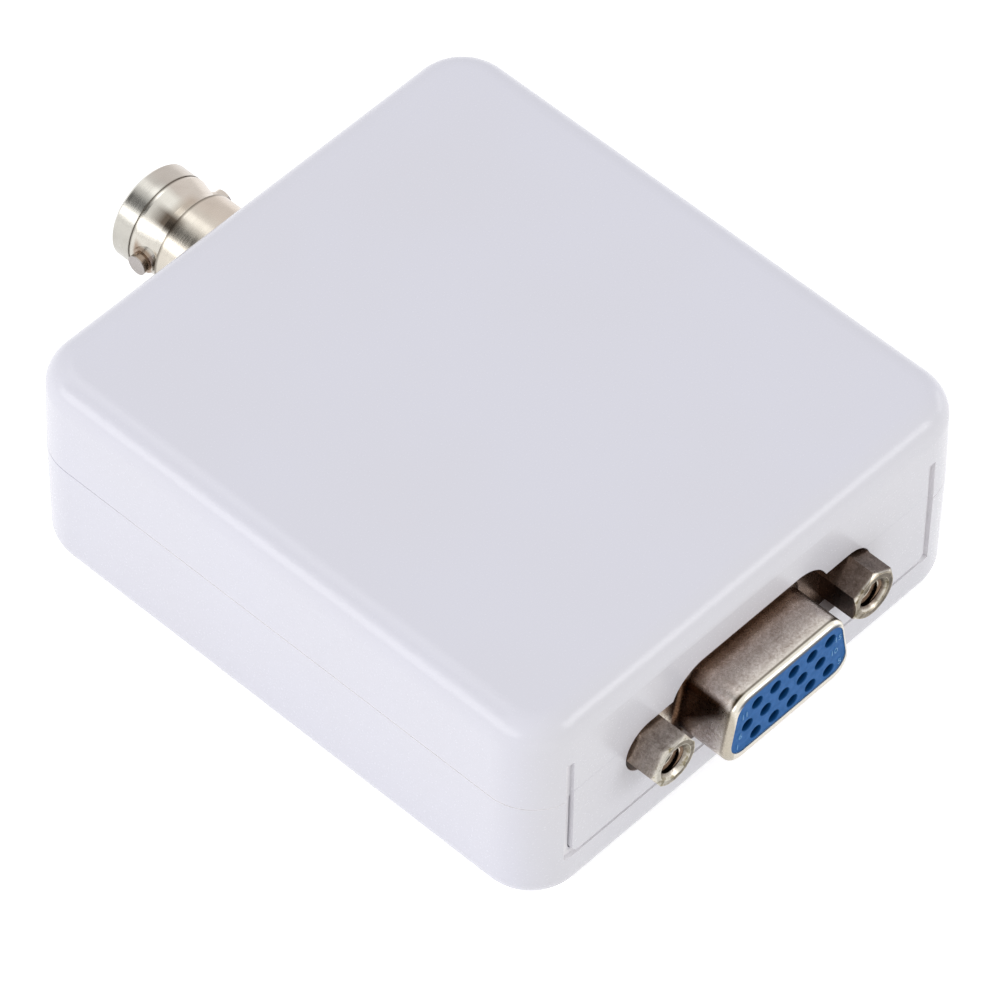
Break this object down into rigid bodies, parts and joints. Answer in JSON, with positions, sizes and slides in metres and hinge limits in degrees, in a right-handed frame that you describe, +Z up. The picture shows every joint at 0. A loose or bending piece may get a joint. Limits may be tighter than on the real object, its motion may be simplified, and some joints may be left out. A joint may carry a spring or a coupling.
{
  "type": "vga to bnc converter",
  "caption": "Small white plastic converter box with a blue VGA socket and hexagon jackscrews at one end and a bayonet BNC jack at the other.",
  "frame": {"origin": "middle of the case's underside", "axes": "+Z up, -Y out of the front wall with the VGA socket, +Y out of the BNC jack"},
  "size_m": [0.0548, 0.0773, 0.0232],
  "materials": {
    "case_plastic": "fine satin moulded ABS",
    "screw_steel": "zinc-plated",
    "board_laminate": "solder mask",
    "nickel_plated_steel": "satin nickel plating",
    "jackscrew_nickel": "dull nickel plating",
    "blue_insulator": "glass-filled moulding",
    "gold_contacts": "gold flash",
    "bnc_nickel": "bright nickel plating",
    "bnc_dielectric": "natural",
    "chip_black": "moulded epoxy",
    "crystal_can": "drawn",
    "capacitor_can": "satin",
    "capacitor_ceramic": "matt",
    "socket_black": "moulded"
  },
  "bodies": {
    "root": {"top_shell": "case_plastic", "bottom_shell": "case_plastic", "case_screws": "screw_steel", "circuit_board": "board_laminate", "vga_shell": "nickel_plated_steel", "vga_rear_shell": "nickel_plated_steel", "vga_insulator": "blue_insulator", "vga_contacts": "gold_contacts", "vga_board_locks": "nickel_plated_steel", "vga_nuts": "nickel_plated_steel", "jackscrews": "jackscrew_nickel", "bnc_body": "bnc_nickel", "bnc_insulator": "bnc_dielectric", "bnc_centre_contact": "gold_contacts", "converter_chip": "chip_black", "memory_chip": "chip_black", "regulator": "chip_black", "crystal": "crystal_can", "electrolytic_capacitors": "capacitor_can", "chip_capacitors": "capacitor_ceramic", "power_socket_shell": "nickel_plated_steel", "power_socket_insulator": "socket_black", "power_socket_contacts": "gold_contacts"}
  },
  "joints": []
}
